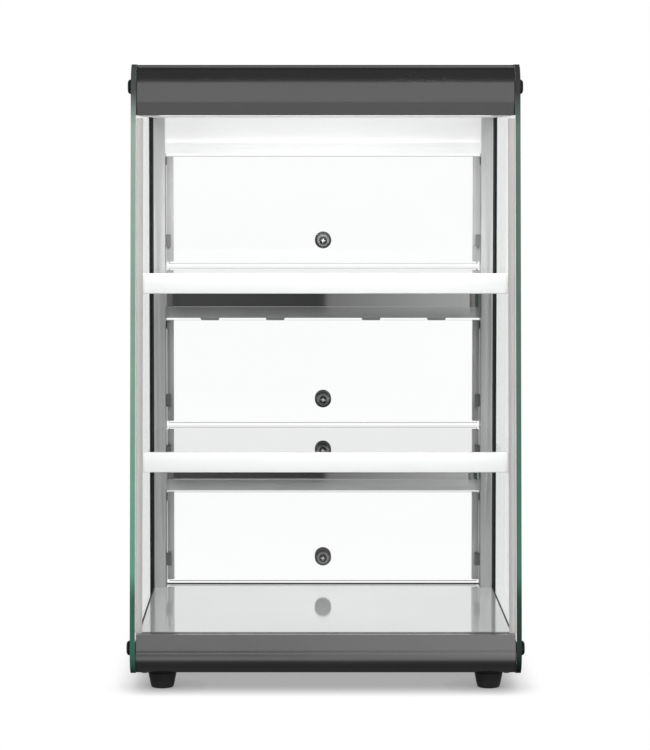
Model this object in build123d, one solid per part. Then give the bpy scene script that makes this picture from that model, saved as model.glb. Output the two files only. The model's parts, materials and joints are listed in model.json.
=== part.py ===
"""Counter-top bakery display case: three glazed tiers with a flap door behind each tier.

Millimetres. X runs across the case, Y from the front (-Y) to the back (+Y), Z up from the table.
The origin is on the table, under the middle of the box that holds the whole object.
"""
import math
import os

from build123d import *

# ---- overall sizes --------------------------------------------------------------------------
case_width = 380.0
case_height = 610.0
case_depth = 365.0
case_lean = 49.0
foot_height = 17.0

# ---- sheet, glass and profile thicknesses ---------------------------------------------------
glass_thickness = 5.0
pane_thickness = 4.0
sheet = 1.2
wall_sheet = 1.0
profile_wall = 2.0
gasket_thickness = 1.0

# ---- side glass and its fixings -------------------------------------------------------------
front_corner_radius = 20.0
rear_corner_radius = 4.0
glass_screw_radius = 3.0
glass_screw_head_radius = 7.2
glass_screw_head_height = 4.2
glass_screw_length = 26.0
glass_screw_play = 0.1
socket_radius = 2.4
socket_depth = 2.4
bush_body_radius = 5.0
bush_body_clearance = 0.2
bush_flange_radius = 10.0
lower_screw_height = 40.5
upper_screw_drop = 22.0
front_screw_inset = 23.0

# ---- front profiles -------------------------------------------------------------------------
profile_setback = 0.6
sill_top = 57.0
sill_depth = 40.0
sill_block = 10.0
header_height = 50.0
header_depth = 44.0
header_band = 12.8
header_band_inset = 4.0
port_radius = 5.6
port_web_half = 1.0

# ---- front pane and seals -------------------------------------------------------------------
pane_setback = 7.3
pane_slot_clearance = 0.5
pane_slot_depth = 6.5
pane_rise = 8.0
seal_width = 6.5
seal_thickness = 6.0
seal_grip = 2.4
seal_end_gap = 0.2
seal_top_gap = 3.0
seal_grip_play = 0.1

# ---- base and deck --------------------------------------------------------------------------
deck_height = 51.0
deck_flange = 9.0
deck_pane_gap = 5.0
deck_side_gap = 0.2
deck_front_fold = 3.0
deck_rear_fold = 6.0
rear_shelf_line = 20.0
sheet_joint_gap = 0.2
stile_notch_width = 30.0
stile_notch_clearance = 0.3

# ---- tiers ----------------------------------------------------------------------------------
tier_pitch = 174.0
shelf_half_width = 177.0
shelf_flange = 12.0
shelf_rear_gap = 22.5
lip_half_width = 180.0
lip_notch = 1.2
lip_above = 6.5
lip_below = 13.3
lip_thickness = 3.0
lip_gap = 1.7
lip_upper_band = 12.0
lip_hook_reach = 6.0
bracket_front_gap = 40.0
bracket_thickness = 2.0
bracket_arm_height = 10.0
bracket_arm_width = 12.0
bracket_foot_height = 24.0
bracket_screw_radius = 1.5
bracket_screw_head_radius = 3.0
bracket_screw_head_height = 1.8
bracket_screw_drop = 20.0
bracket_screw_offset = 1.5

# ---- rear frame -----------------------------------------------------------------------------
stile_width = 12.0
stile_depth = 38.0
stile_wall = 1.5
rail_depth = 16.0
rail_rear_inset = 2.0
rail_hem_height = 12.0
rail_hem_depth = 4.0
tab_inner_x = 52.0
tab_outer_x = 123.0
tab_half_width = 10.0
tab_thickness = 3.0
tab_drop = 2.6
top_opening_height = 122.5
middle_opening_height = 118.0
bottom_opening_height = 103.5

# ---- doors ----------------------------------------------------------------------------------
door_inset = 8.0
door_panel_thickness = 4.0
door_side_gap = 1.0
door_strip_width = 7.0
door_strip_depth = 10.0
strip_pocket = 1.9
strip_grip_play = 0.05
door_strip_lift = 5.0
door_panel_lift = 2.5
door_top_gap = 3.0
hinge_drop = 5.0
hinge_pin_radius = 2.0
hinge_pin_clearance = 0.05
hinge_bush_radius = 3.6
hinge_bush_flange_radius = 4.6
hinge_bush_flange = 0.6
hinge_bush_fit = 0.1
hinge_bush_length = 5.0
knob_height = 28.0
knob_radius = 9.0
knob_neck_radius = 5.5
knob_length = 20.0
knob_flange = 2.5
knob_neck_share = 0.45
knob_edge_radius = 2.2
knob_screw_radius = 1.9
knob_washer_radius = 6.5
knob_washer_thickness = 0.8
knob_screw_head_radius = 4.0
knob_screw_head_height = 2.6
screw_slot_half = 2.6
screw_slot_half_width = 0.5
screw_slot_depth = 1.0
catch_size = 13.0
catch_width = 5.5
catch_depth = 7.0
catch_gap = 0.3
magnet_radius = 2.1
magnet_length = 2.9

# ---- light ----------------------------------------------------------------------------------
led_channel_width = 16.0
led_channel_height = 11.0
led_channel_half_length = 165.0
led_channel_wall = 1.5
led_channel_flange = 3.0
led_slot_clearance = 0.3
led_header_gap = 4.0
led_board_end_gap = 16.0
led_board_half_width = 4.0
led_board_thickness = 1.2
led_chip_half = 1.8
led_chip_height = 0.8
led_chip_count = 27
led_cover_thickness = 2.0
led_lead_radius = 1.5
led_lead_hole_radius = 1.7
led_lead_end_inset = 12.0
lead_wall_hole_radius = 4.0
lead_rise = 7.0
lead_top_rise = 26.0
lead_rear_gap = 10.0
lead_wall_gap = 6.0

# ---- electrical parts in the base -----------------------------------------------------------
driver_length = 112.0
driver_width = 42.0
driver_height = 24.0
driver_x = -40.0
driver_inset = 70.0
driver_corner = 4.0
terminal_length = 9.0
terminal_half_width = 12.0
terminal_height = 14.0
rear_fitting_rise = 16.5
gland_x = 110.0
gland_hole_radius = 6.2
gland_thread_clearance = 0.2
gland_thread_length = 9.0
gland_hex_radius = 9.0
gland_hex_height = 4.0
gland_cap_radius = 7.6
gland_cap_height = 7.0
gland_bore_radius = 3.6
switch_x = -90.0
switch_length = 28.0
switch_height = 13.0
switch_depth = 17.0
switch_fit = 0.2
switch_bezel = 2.0
switch_bezel_thickness = 1.6
switch_wall = 1.6
switch_well_depth = 13.5
switch_pivot_depth = 4.5
terminal_blade_x = 7.0
rocker_pin_radius = 1.25
rocker_half_throw = 7.0

# ---- feet -----------------------------------------------------------------------------------
foot_top_radius = 14.6
foot_bottom_radius = 11.1
foot_x = 160.0
foot_inset = 36.0
foot_pocket_radius = 5.5
foot_pocket_depth = 7.0
foot_screw_radius = 2.0
foot_screw_clearance = 0.3
foot_screw_head_radius = 4.2
foot_screw_head_height = 2.6
pan_screw_x = 177.0
pan_screw_front_inset = 27.0
pan_screw_rear_inset = 14.0
pan_screw_radius = 1.5
pan_screw_head_radius = 3.4
pan_screw_head_height = 1.6
pan_screw_length = 5.0

# ---- running values -------------------------------------------------------------------------
door_back_line = case_depth - door_inset
lean_slope = case_lean / (case_height - foot_height + profile_setback)
nose_gap = front_corner_radius * (lean_slope + math.hypot(1, lean_slope) - 1)
overall_depth = max(case_depth, door_back_line + knob_length) - nose_gap
y_front = -overall_depth / 2 - nose_gap
glass_bottom = foot_height - profile_setback
y_rear = y_front + case_depth
half_width = case_width / 2
inner_half = half_width - glass_thickness
housing_half = inner_half - gasket_thickness
wall_inner_half = housing_half - wall_sheet
stile_outer = wall_inner_half
stile_inner = stile_outer - stile_width
header_bottom = case_height - header_height
upper_screw_height = case_height - upper_screw_drop
stile_front = y_rear - stile_depth
sill_inner = y_front + sill_depth
rear_fitting_height = foot_height + rear_fitting_rise
driver_y = y_rear - driver_inset
lead_x = -(stile_inner + stile_wall + lead_wall_gap)
lead_y = y_rear - lead_rear_gap
lead_low = foot_height + sheet + lead_rise
lead_high = header_bottom + lead_top_rise
bracket_screw_x = stile_inner + stile_width / 2 + bracket_screw_offset
foot_hole_radius = foot_screw_radius + foot_screw_clearance
pan_screw_hole_radius = pan_screw_radius + glass_screw_play
deck_rear = y_rear - rear_shelf_line
door_back = y_front + door_back_line
door_middle = door_back - door_panel_thickness / 2
door_half = stile_inner - door_side_gap
shelf_rear = y_rear - shelf_rear_gap
lower_plane = deck_height + tier_pitch
upper_plane = lower_plane + tier_pitch
tiers = {
    "bottom": (deck_height, deck_height + bottom_opening_height),
    "middle": (lower_plane, lower_plane + middle_opening_height),
    "top": (upper_plane, upper_plane + top_opening_height),
}


def front_at(z):
    """Y of the leaning front edge of the side glass at height z."""
    return y_front + lean_slope * (z - glass_bottom)


# ---- helpers --------------------------------------------------------------------------------
def block(x0, x1, y0, y1, z0, z1):
    """Box between two corners."""
    centre = Pos((x0 + x1) / 2, (y0 + y1) / 2, (z0 + z1) / 2)
    return centre * Box(x1 - x0, y1 - y0, z1 - z0)


def rod_x(y, z, radius, x0, x1):
    """Cylinder along X."""
    return Pos((x0 + x1) / 2, y, z) * Rot(0, 90, 0) * Cylinder(radius, abs(x1 - x0))


def rod_y(x, z, radius, y0, y1):
    """Cylinder along Y."""
    return Pos(x, (y0 + y1) / 2, z) * Rot(90, 0, 0) * Cylinder(radius, abs(y1 - y0))


def rod_z(x, y, radius, z0, z1):
    """Cylinder along Z."""
    return Pos(x, y, (z0 + z1) / 2) * Cylinder(radius, abs(z1 - z0))


def area(*points):
    """Flat face in side view, from (y, z) points."""
    return make_face(Polyline(*points, close=True).edges())


def across(face, x0, x1):
    """Side-view face pulled along X."""
    return extrude(Plane.YZ.offset(x0) * face, amount=x1 - x0)


def mirrored(shape):
    """The same piece on the other side of the case."""
    return mirror(shape, Plane.YZ)


def save(name, *shapes):
    """Write one node as a STEP file."""
    solids = [solid for shape in shapes for solid in shape.solids()]
    whole = solids[0] if len(solids) == 1 else Compound(solids)
    export_step(whole, os.path.join("parts", name + ".step"))


def side_outline(inset=0.0):
    """Outline of the side glass in side view, with its rounded corners, drawn in by inset."""
    corners = area(
        (front_at(glass_bottom), glass_bottom),
        (front_at(case_height), case_height),
        (y_rear, case_height),
        (y_rear, glass_bottom),
    )
    corners = fillet(corners.vertices().sort_by(Axis.X)[:2], front_corner_radius)
    corners = fillet(corners.vertices().sort_by(Axis.X)[-2:], rear_corner_radius)
    if inset > 0:
        corners = offset(corners, amount=-inset)
    return corners


def glass_screw_places():
    """(y, z) of the two screws through each side glass, into the ends of the front profiles."""
    return [
        (y_front + front_screw_inset, lower_screw_height),
        (front_at(upper_screw_height) + front_screw_inset, upper_screw_height),
    ]


# ---- side glass, gaskets and their screws ----------------------------------------------------
def side_glass():
    glass = across(side_outline(), inner_half, half_width)
    for y, z in glass_screw_places():
        glass -= rod_x(y, z, bush_body_radius + bush_body_clearance, inner_half - 1, half_width + 1)
    return glass


def housing_gasket(z0, z1):
    """Flat seal between the side glass and the end of a housing."""
    band = area((y_front - 5, z0), (y_rear + 5, z0), (y_rear + 5, z1), (y_front - 5, z1))
    gasket = across(side_outline(profile_setback) & band, housing_half, inner_half)
    for y, z in glass_screw_places():
        if z0 < z < z1:
            gasket -= rod_x(y, z, bush_flange_radius + glass_screw_play, housing_half - 1, inner_half + 1)
    return gasket


def rear_gasket():
    """Bonded seal that holds the side glass to the rear stile, from deck to ceiling."""
    return block(stile_outer, inner_half, stile_front, y_rear - 1, deck_height + 0.2, header_bottom - 0.2)


def screw_bush(y, z):
    """Flanged plastic bush that keeps the screw off the glass."""
    bush = rod_x(y, z, bush_body_radius, inner_half, half_width)
    bush += rod_x(y, z, bush_flange_radius, housing_half, inner_half)
    return bush - rod_x(y, z, glass_screw_radius + 2 * glass_screw_play, housing_half - 1, half_width + 1)


def glass_screw(y, z):
    """Domed screw with a hexagon socket, driven in from outside."""
    head = rod_x(y, z, glass_screw_head_radius, half_width, half_width + glass_screw_head_height)
    head = fillet(head.edges().group_by(Axis.X)[-1], glass_screw_head_height * 0.7)
    head_end = Plane.YZ.offset(half_width + glass_screw_head_height)
    socket_face = head_end * Pos(y, z) * RegularPolygon(socket_radius, 6)
    head -= extrude(socket_face, amount=-socket_depth)
    return head + rod_x(y, z, glass_screw_radius, half_width - glass_screw_length, half_width)


# ---- front profiles --------------------------------------------------------------------------
def screw_port(y, z, web_from):
    """Round port for the glass screws, on a web that reaches the profile's skin."""
    low = z - port_web_half
    high = z + port_web_half
    web = area((web_from, low), (y, low), (y, high), (web_from, high))
    return web + Pos(y, z) * Circle(port_radius)


def slot_area(z0, z1):
    """Leaning slot that the front pane stands in."""
    near = pane_setback - pane_slot_clearance
    far = pane_setback + pane_thickness + pane_slot_clearance
    return area(
        (front_at(z0) + near, z0),
        (front_at(z0) + far, z0),
        (front_at(z1) + far, z1),
        (front_at(z1) + near, z1),
    )


def bottom_front_profile():
    """Rounded sill extrusion: skin, pane slot along the top and a screw port."""
    block_back = front_at(sill_top) + pane_setback + pane_thickness + 4.5
    shoulder = sill_top - sill_block
    section = side_outline(profile_setback) & area(
        (y_front - 5, 0),
        (sill_inner, 0),
        (sill_inner, shoulder),
        (block_back, shoulder),
        (block_back, sill_top),
        (y_front - 5, sill_top),
    )
    section -= side_outline(profile_setback + profile_wall) & area(
        (y_front - 5, 0), (sill_inner + 1, 0), (sill_inner + 1, shoulder), (y_front - 5, shoulder)
    )
    port_y = y_front + front_screw_inset
    section += screw_port(port_y, lower_screw_height, y_front + profile_setback + profile_wall / 2)
    section -= Pos(port_y, lower_screw_height) * Circle(glass_screw_radius + glass_screw_play)
    section -= slot_area(sill_top - pane_slot_depth, sill_top + 1)
    profile = across(section, -housing_half, housing_half)
    for x in (-foot_x, foot_x):
        profile -= rod_z(x, y_front + foot_inset, foot_hole_radius, 0, foot_height + 5)
    for x, y in pan_screw_places():
        profile -= rod_z(x, y, pan_screw_hole_radius, 0, foot_height + 5)
    return profile


def top_front_profile():
    """Rounded header extrusion: skin, drawn-in lower band, pane slot and a screw port."""
    band_top = header_bottom + header_band
    header_back = front_at(case_height) + header_depth
    web_y = front_at(header_bottom + pane_rise) + pane_setback + pane_thickness + pane_slot_clearance
    band_in = profile_setback + header_band_inset
    section = side_outline(profile_setback) & area(
        (y_front - 5, band_top),
        (front_at(band_top) + profile_setback, band_top),
        (front_at(header_bottom) + band_in, header_bottom),
        (header_back, header_bottom),
        (header_back, case_height + 5),
        (y_front - 5, case_height + 5),
    )
    hollow = side_outline(profile_setback + profile_wall) & area(
        (y_front - 5, band_top),
        (front_at(band_top) + profile_setback + profile_wall, band_top),
        (front_at(header_bottom) + band_in + profile_wall, header_bottom - 1),
        (header_back + 1, header_bottom - 1),
        (header_back + 1, case_height + 5),
        (y_front - 5, case_height + 5),
    )
    section -= hollow
    floor_top = header_bottom + profile_wall
    section += area(
        (web_y, header_bottom), (header_back, header_bottom), (header_back, floor_top), (web_y, floor_top)
    )
    web_top = case_height - profile_wall
    web_back = web_y + profile_wall
    section += area((web_y, header_bottom), (web_back, header_bottom), (web_back, web_top), (web_y, web_top))
    port_y = front_at(upper_screw_height) + front_screw_inset
    section += screw_port(port_y, upper_screw_height, web_y + 1)
    section -= Pos(port_y, upper_screw_height) * Circle(glass_screw_radius + glass_screw_play)
    return across(section, -housing_half, housing_half)


def front_glass():
    """Leaning front pane, standing in the sill slot and reaching up into the header slot."""
    z0 = sill_top - pane_slot_depth + 0.5
    z1 = header_bottom + pane_rise
    far = pane_setback + pane_thickness
    section = area(
        (front_at(z0) + pane_setback, z0),
        (front_at(z0) + far, z0),
        (front_at(z1) + far, z1),
        (front_at(z1) + pane_setback, z1),
    )
    half = inner_half - seal_width + seal_grip - 2 * seal_grip_play
    return across(section, -half, half)


def front_seal():
    """Clear strip that grips the pane's edge and lies against the side glass."""
    z0 = sill_top + seal_end_gap
    z1 = header_bottom - seal_top_gap
    near = pane_setback + pane_thickness / 2 - seal_thickness / 2
    far = near + seal_thickness
    strip = area(
        (front_at(z0) + near, z0),
        (front_at(z0) + far, z0),
        (front_at(z1) + far, z1),
        (front_at(z1) + near, z1),
    )
    grip = area(
        (front_at(z0 - 1) + pane_setback - seal_grip_play, z0 - 1),
        (front_at(z0 - 1) + pane_setback + pane_thickness + seal_grip_play, z0 - 1),
        (front_at(z1 + 1) + pane_setback + pane_thickness + seal_grip_play, z1 + 1),
        (front_at(z1 + 1) + pane_setback - seal_grip_play, z1 + 1),
    )
    inner = inner_half - seal_width
    return across(strip, inner, inner_half) - across(grip, inner - 1, inner + seal_grip)


# ---- base -----------------------------------------------------------------------------------
def foot_places():
    return [
        (x, y)
        for x in (-foot_x, foot_x)
        for y in (y_front + foot_inset, y_rear - foot_inset)
    ]


def stile_notch(side, z0, z1):
    """Block that cuts a sheet away round a stile."""
    near = stile_inner - stile_notch_clearance
    far = stile_inner + stile_notch_width + stile_notch_clearance
    front = stile_front - stile_notch_clearance
    return block(min(side * near, side * far), max(side * near, side * far), front, y_rear, z0, z1)


def base_pan():
    """Folded tray under the deck: floor, two sides, a rear wall and the sill behind the deck."""
    front = sill_inner + sheet_joint_gap
    top = deck_height - sheet
    pan = block(-housing_half, housing_half, front, y_rear, foot_height, top)
    pan -= block(
        -wall_inner_half, wall_inner_half, front - 1, y_rear - sheet, foot_height + sheet, deck_height + 5
    )
    pan += block(-wall_inner_half, wall_inner_half, deck_rear + 2 * sheet_joint_gap, y_rear, top - sheet, top)
    for side in (-1, 1):
        stile_mid = side * (stile_inner + stile_outer) / 2
        half = stile_width / 2 + sheet_joint_gap
        notch_front = stile_front - sheet_joint_gap
        pan -= block(stile_mid - half, stile_mid + half, notch_front, y_rear - sheet, top - 5, top + 5)
    for x, y in foot_places():
        pan -= rod_z(x, y, foot_hole_radius, foot_height - 1, foot_height + 5)
    for x, y in pan_screw_places():
        pan -= rod_z(x, y, pan_screw_hole_radius, foot_height - 1, foot_height + 5)
    pan -= rod_y(gland_x, rear_fitting_height, gland_hole_radius, y_rear - 5, y_rear + 5)
    half_x = switch_length / 2
    half_z = switch_height / 2
    pan -= block(
        switch_x - half_x,
        switch_x + half_x,
        y_rear - 5,
        y_rear + 5,
        rear_fitting_height - half_z,
        rear_fitting_height + half_z,
    )
    return pan


def base_deck():
    """Polished floor of the bottom tier, with edges folded down."""
    front = front_at(sill_top) + pane_setback + pane_thickness + deck_pane_gap
    half = wall_inner_half - deck_side_gap
    deck = block(-half, half, front, deck_rear, deck_height - sheet, deck_height)
    low = deck_height - deck_flange
    flange_front = sill_inner + 1
    deck += block(-half, -half + sheet, flange_front, stile_front - 1, low, deck_height)
    deck += block(half - sheet, half, flange_front, stile_front - 1, low, deck_height)
    deck += block(-half, half, front, front + sheet, deck_height - deck_front_fold, deck_height)
    rear_half = stile_inner - 1
    fold_low = deck_height - deck_rear_fold
    deck += block(-rear_half, rear_half, deck_rear - sheet, deck_rear, fold_low, deck_height)
    for side in (-1, 1):
        deck -= stile_notch(side, low - 1, deck_height + 1)
    return deck


def rubber_foot(x, y):
    """Tapered foot with a pocket for its screw head."""
    foot = Pos(x, y, foot_height / 2) * Cone(foot_bottom_radius, foot_top_radius, foot_height)
    foot -= rod_z(x, y, foot_pocket_radius, -1, foot_pocket_depth)
    return foot - rod_z(x, y, foot_hole_radius, 0, foot_height + 1)


def foot_screw(x, y):
    """Slotted screw up through a foot."""
    low = foot_pocket_depth - foot_screw_head_height
    screw = rod_z(x, y, foot_screw_head_radius, low, foot_pocket_depth)
    half = screw_slot_half_width
    screw -= block(x - 3, x + 3, y - half, y + half, low - 1, low + screw_slot_depth)
    return screw + rod_z(x, y, foot_screw_radius, foot_pocket_depth, foot_height + 9)


def pan_screw_places():
    rows = (y_front + pan_screw_front_inset, y_rear - pan_screw_rear_inset)
    return [(x, y) for x in (-pan_screw_x, pan_screw_x) for y in rows]


def pan_screw(x, y):
    """Small domed screw under the sill or the tray, near its end."""
    head = rod_z(x, y, pan_screw_head_radius, foot_height - pan_screw_head_height, foot_height)
    head = fillet(head.edges().group_by(Axis.Z)[0], pan_screw_head_height * 0.6)
    return head + rod_z(x, y, pan_screw_radius, foot_height, foot_height + pan_screw_length)


# ---- top housing ----------------------------------------------------------------------------
def header_rear():
    return front_at(case_height) + header_depth


def top_cover():
    """Folded lid behind the header: top, two sides and a rear wall."""
    front = header_rear() + sheet_joint_gap
    top = case_height - profile_setback
    cover = block(-housing_half, housing_half, front, y_rear, header_bottom + sheet_joint_gap, top)
    return cover - block(
        -wall_inner_half, wall_inner_half, front - 1, y_rear - sheet, header_bottom - 1, top - sheet
    )


def led_line():
    """Y of the middle of the light channel."""
    return header_rear() + led_header_gap + led_channel_width / 2


def ceiling_panel():
    """Ceiling of the top tier, with a long slot for the light and notches for the stiles."""
    front = header_rear() + sheet_joint_gap
    half = wall_inner_half - deck_side_gap
    panel = block(-half, half, front, y_rear - sheet - sheet_joint_gap, header_bottom, header_bottom + sheet)
    slot_half = led_channel_width / 2 + led_slot_clearance
    panel -= block(
        -led_channel_half_length - led_slot_clearance,
        led_channel_half_length + led_slot_clearance,
        led_line() - slot_half,
        led_line() + slot_half,
        header_bottom - 1,
        header_bottom + 5,
    )
    for side in (-1, 1):
        panel -= stile_notch(side, header_bottom - 1, header_bottom + 5)
    return panel


def led_channel():
    """Light channel with a flange that hangs on the ceiling slot."""
    half = led_channel_width / 2
    long_half = led_channel_half_length
    top = header_bottom + led_channel_height
    channel = block(-long_half, long_half, led_line() - half, led_line() + half, header_bottom, top)
    inside = half - led_channel_wall
    roof = top - led_channel_wall
    near_wall = led_line() - inside
    far_wall = led_line() + inside
    channel -= block(-long_half - 1, long_half + 1, near_wall, far_wall, header_bottom - 1, roof)
    flange_z = header_bottom + sheet
    for side in (-1, 1):
        near = led_line() + side * half
        far = led_line() + side * (half + led_channel_flange)
        channel += block(-long_half, long_half, min(near, far), max(near, far), flange_z, flange_z + 1)
    lead_hole = rod_z(-long_half + led_lead_end_inset, led_line(), led_lead_hole_radius, top - 3, top + 1)
    return channel - lead_hole


def led_strip():
    """Light strip on the channel's roof: a board with a row of light chips."""
    roof = header_bottom + led_channel_height - led_channel_wall
    board_half = led_channel_half_length - led_board_end_gap
    half = led_board_half_width
    chip_top = roof - led_board_thickness
    strip = block(-board_half, board_half, led_line() - half, led_line() + half, chip_top, roof)
    spacing = 2 * board_half / led_chip_count
    for index in range(led_chip_count):
        x = -board_half + spacing * (index + 0.5)
        near = led_line() - led_chip_half
        far = led_line() + led_chip_half
        strip += block(x - led_chip_half, x + led_chip_half, near, far, chip_top - led_chip_height, chip_top)
    return strip


def led_diffuser():
    """Opal cover clipped between the channel's walls, flush with the ceiling."""
    half = led_channel_width / 2 - led_channel_wall - glass_screw_play
    long_half = led_channel_half_length
    top = header_bottom + led_cover_thickness
    return block(-long_half, long_half, led_line() - half, led_line() + half, header_bottom, top)


# ---- electrical parts -----------------------------------------------------------------------
def led_driver():
    """Closed driver box on the tray's floor, with a terminal block at each end."""
    floor = foot_height + sheet
    half_x = driver_length / 2
    half_y = driver_width / 2
    lid = floor + driver_height
    body = block(driver_x - half_x, driver_x + half_x, driver_y - half_y, driver_y + half_y, floor, lid)
    body = fillet(body.edges().filter_by(Axis.Z), driver_corner)
    for side in (-1, 1):
        end = driver_x + side * half_x
        near = end - 0.5 * side
        far = end + terminal_length * side
        half = terminal_half_width
        body += block(
            min(near, far), max(near, far), driver_y - half, driver_y + half, floor, floor + terminal_height
        )
    return body


def led_lead():
    """Low-voltage lead from the driver, up inside the left stile, to the light channel."""
    start_x = driver_x - driver_length / 2 - terminal_length
    turn_x = start_x - 22
    channel_x = -led_channel_half_length + led_lead_end_inset
    roof = header_bottom + led_channel_height - 1.0
    route = [
        (start_x, driver_y, lead_low),
        (turn_x, driver_y, lead_low),
        (turn_x, lead_y, lead_low),
        (lead_x, lead_y, lead_low),
        (lead_x, lead_y, lead_high),
        (channel_x, lead_y, lead_high),
        (channel_x, led_line(), lead_high),
        (channel_x, led_line(), roof),
    ]
    path = FilletPolyline(*route, radius=[8, 8, 5.5, 5.5, 8, 8])
    start = Plane(origin=route[0], z_dir=(-1, 0, 0))
    return sweep(start * Circle(led_lead_radius), path=path)


def cable_gland():
    """Gland body for the supply cord: thread through the wall, collar and domed cap outside."""
    wall_in = y_rear - sheet
    thread = gland_hole_radius - gland_thread_clearance
    gland = rod_y(gland_x, rear_fitting_height, thread, wall_in - gland_thread_length, y_rear)
    collar_plane = Plane(origin=(gland_x, y_rear, rear_fitting_height), z_dir=(0, 1, 0))
    gland += extrude(collar_plane * RegularPolygon(gland_hex_radius, 6), amount=gland_hex_height)
    cap_start = y_rear + gland_hex_height
    cap_end = cap_start + gland_cap_height
    cap = rod_y(gland_x, rear_fitting_height, gland_cap_radius, cap_start, cap_end)
    gland += fillet(cap.edges().group_by(Axis.Y)[-1], 3.0)
    bore_start = wall_in - gland_thread_length - 1
    return gland - rod_y(gland_x, rear_fitting_height, gland_bore_radius, bore_start, cap_end + 1)


def gland_nut():
    """Hexagon nut that clamps the gland to the wall from inside."""
    wall_in = y_rear - sheet
    nut_plane = Plane(origin=(gland_x, wall_in, rear_fitting_height), z_dir=(0, -1, 0))
    nut = extrude(nut_plane * RegularPolygon(gland_hex_radius, 6), amount=gland_hex_height)
    hole = gland_hole_radius - gland_thread_clearance / 2
    return nut - rod_y(gland_x, rear_fitting_height, hole, wall_in - gland_hex_height - 1, wall_in + 1)


def switch_pivot():
    """Y of the rocker's turning line."""
    return y_rear - switch_pivot_depth


def switch_housing():
    """Snap-in switch body: bezel outside the wall, hollow well behind it, two terminals."""
    half_x = switch_length / 2 - switch_fit
    half_z = switch_height / 2 - switch_fit
    z0 = rear_fitting_height - half_z
    z1 = rear_fitting_height + half_z
    body = block(switch_x - half_x, switch_x + half_x, y_rear - switch_depth, y_rear, z0, z1)
    bezel_x = half_x + switch_bezel
    bezel_back = y_rear + switch_bezel_thickness
    body += block(
        switch_x - bezel_x, switch_x + bezel_x, y_rear, bezel_back, z0 - switch_bezel, z1 + switch_bezel
    )
    well_x = half_x - switch_wall
    well_front = y_rear - switch_well_depth
    body -= block(
        switch_x - well_x, switch_x + well_x, well_front, y_rear + 3, z0 + switch_wall, z1 - switch_wall
    )
    body -= rod_z(switch_x, switch_pivot(), rocker_pin_radius + hinge_pin_clearance, z0 + 0.6, z1 - 0.6)
    for x in (-terminal_blade_x, terminal_blade_x):
        body += block(
            switch_x + x - 0.4,
            switch_x + x + 0.4,
            y_rear - switch_depth - 7,
            y_rear - switch_depth,
            rear_fitting_height - 2.4,
            rear_fitting_height + 2.4,
        )
    return body


def switch_rocker():
    """Rocker with two stub pivots, tipped to its off side."""
    half_x = switch_length / 2 - 2.4
    half_z = switch_height / 2 - 2.2
    pivot_y = switch_pivot()
    face = make_face(
        Polyline(
            (-half_x, 2.6),
            (0, 4.4),
            (half_x, 2.6),
            (half_x * 0.82, -0.6),
            (2.6, -3.4),
            (-2.6, -3.4),
            (-half_x * 0.82, -0.6),
            close=True,
        ).edges()
    )
    rocker = Pos(0, 0, -half_z) * extrude(face, amount=2 * half_z)
    rocker += rod_z(0, 0, rocker_pin_radius, -half_z - 1.3, half_z + 1.3)
    return Pos(switch_x, pivot_y, rear_fitting_height) * Rot(0, 0, -rocker_half_throw) * rocker


# ---- rear frame ------------------------------------------------------------------------------
def rear_stile(hinge_heights):
    """Upright tube beside the doors, from the tray's floor to the lid."""
    z0 = foot_height + sheet
    z1 = case_height - profile_setback - sheet
    back = y_rear - sheet
    stile = block(stile_inner, stile_outer, stile_front, back, z0, z1)
    stile -= block(
        stile_inner + stile_wall,
        stile_outer - stile_wall,
        stile_front + stile_wall,
        back - stile_wall,
        z0 - 1,
        z1 + 1,
    )
    bush_hole = hinge_bush_radius + hinge_bush_fit
    for z in hinge_heights:
        stile -= rod_x(door_middle, z, bush_hole, stile_inner - 1, stile_inner + stile_wall + 0.5)
    hole = bracket_screw_radius + 0.2
    for plane in (lower_plane, upper_plane):
        z = plane - bracket_screw_drop
        stile -= rod_y(bracket_screw_x, z, hole, stile_front - 1, stile_front + stile_wall + 0.5)
    return stile


def left_stile(hinge_heights):
    """Left upright, which also carries the light's lead."""
    stile = mirrored(rear_stile(hinge_heights))
    for z in (lead_low, lead_high):
        stile -= rod_x(lead_y, z, lead_wall_hole_radius, -stile_inner - stile_wall - 0.5, -stile_inner + 1)
    return stile


def rear_rail(z0, z1):
    """Box rail between the stiles with a hem along its lower front edge."""
    front = y_rear - rail_rear_inset - rail_depth
    back = y_rear - rail_rear_inset
    section = area(
        (front - rail_hem_depth, z0),
        (back, z0),
        (back, z1),
        (front, z1),
        (front, z0 + rail_hem_height),
        (front - rail_hem_depth, z0 + rail_hem_height),
    )
    section -= area(
        (front - rail_hem_depth + sheet, z0 + sheet),
        (back - sheet, z0 + sheet),
        (back - sheet, z1 - sheet),
        (front + sheet, z1 - sheet),
        (front + sheet, z0 + rail_hem_height - sheet),
        (front - rail_hem_depth + sheet, z0 + rail_hem_height - sheet),
    )
    return across(section, -stile_inner, stile_inner)


def rail_tabs(z_top):
    """Four short bumpers under the front of the middle opening's rail."""
    front = y_rear - rail_rear_inset - rail_depth - rail_hem_depth
    tabs = []
    for x in (-tab_outer_x, -tab_inner_x, tab_inner_x, tab_outer_x):
        back = front + tab_thickness
        tab = block(x - tab_half_width, x + tab_half_width, front, back, z_top - tab_drop, z_top)
        tabs.append(fillet(tab.edges().filter_by(Axis.Y).group_by(Axis.Z)[0], tab_drop * 0.6))
    return tabs


# ---- shelves ---------------------------------------------------------------------------------
def lip_front(plane):
    """Y of the front face of a shelf's lip: just behind the pane at the lip's top."""
    return front_at(plane + lip_above) + pane_setback + pane_thickness + lip_gap


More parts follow.
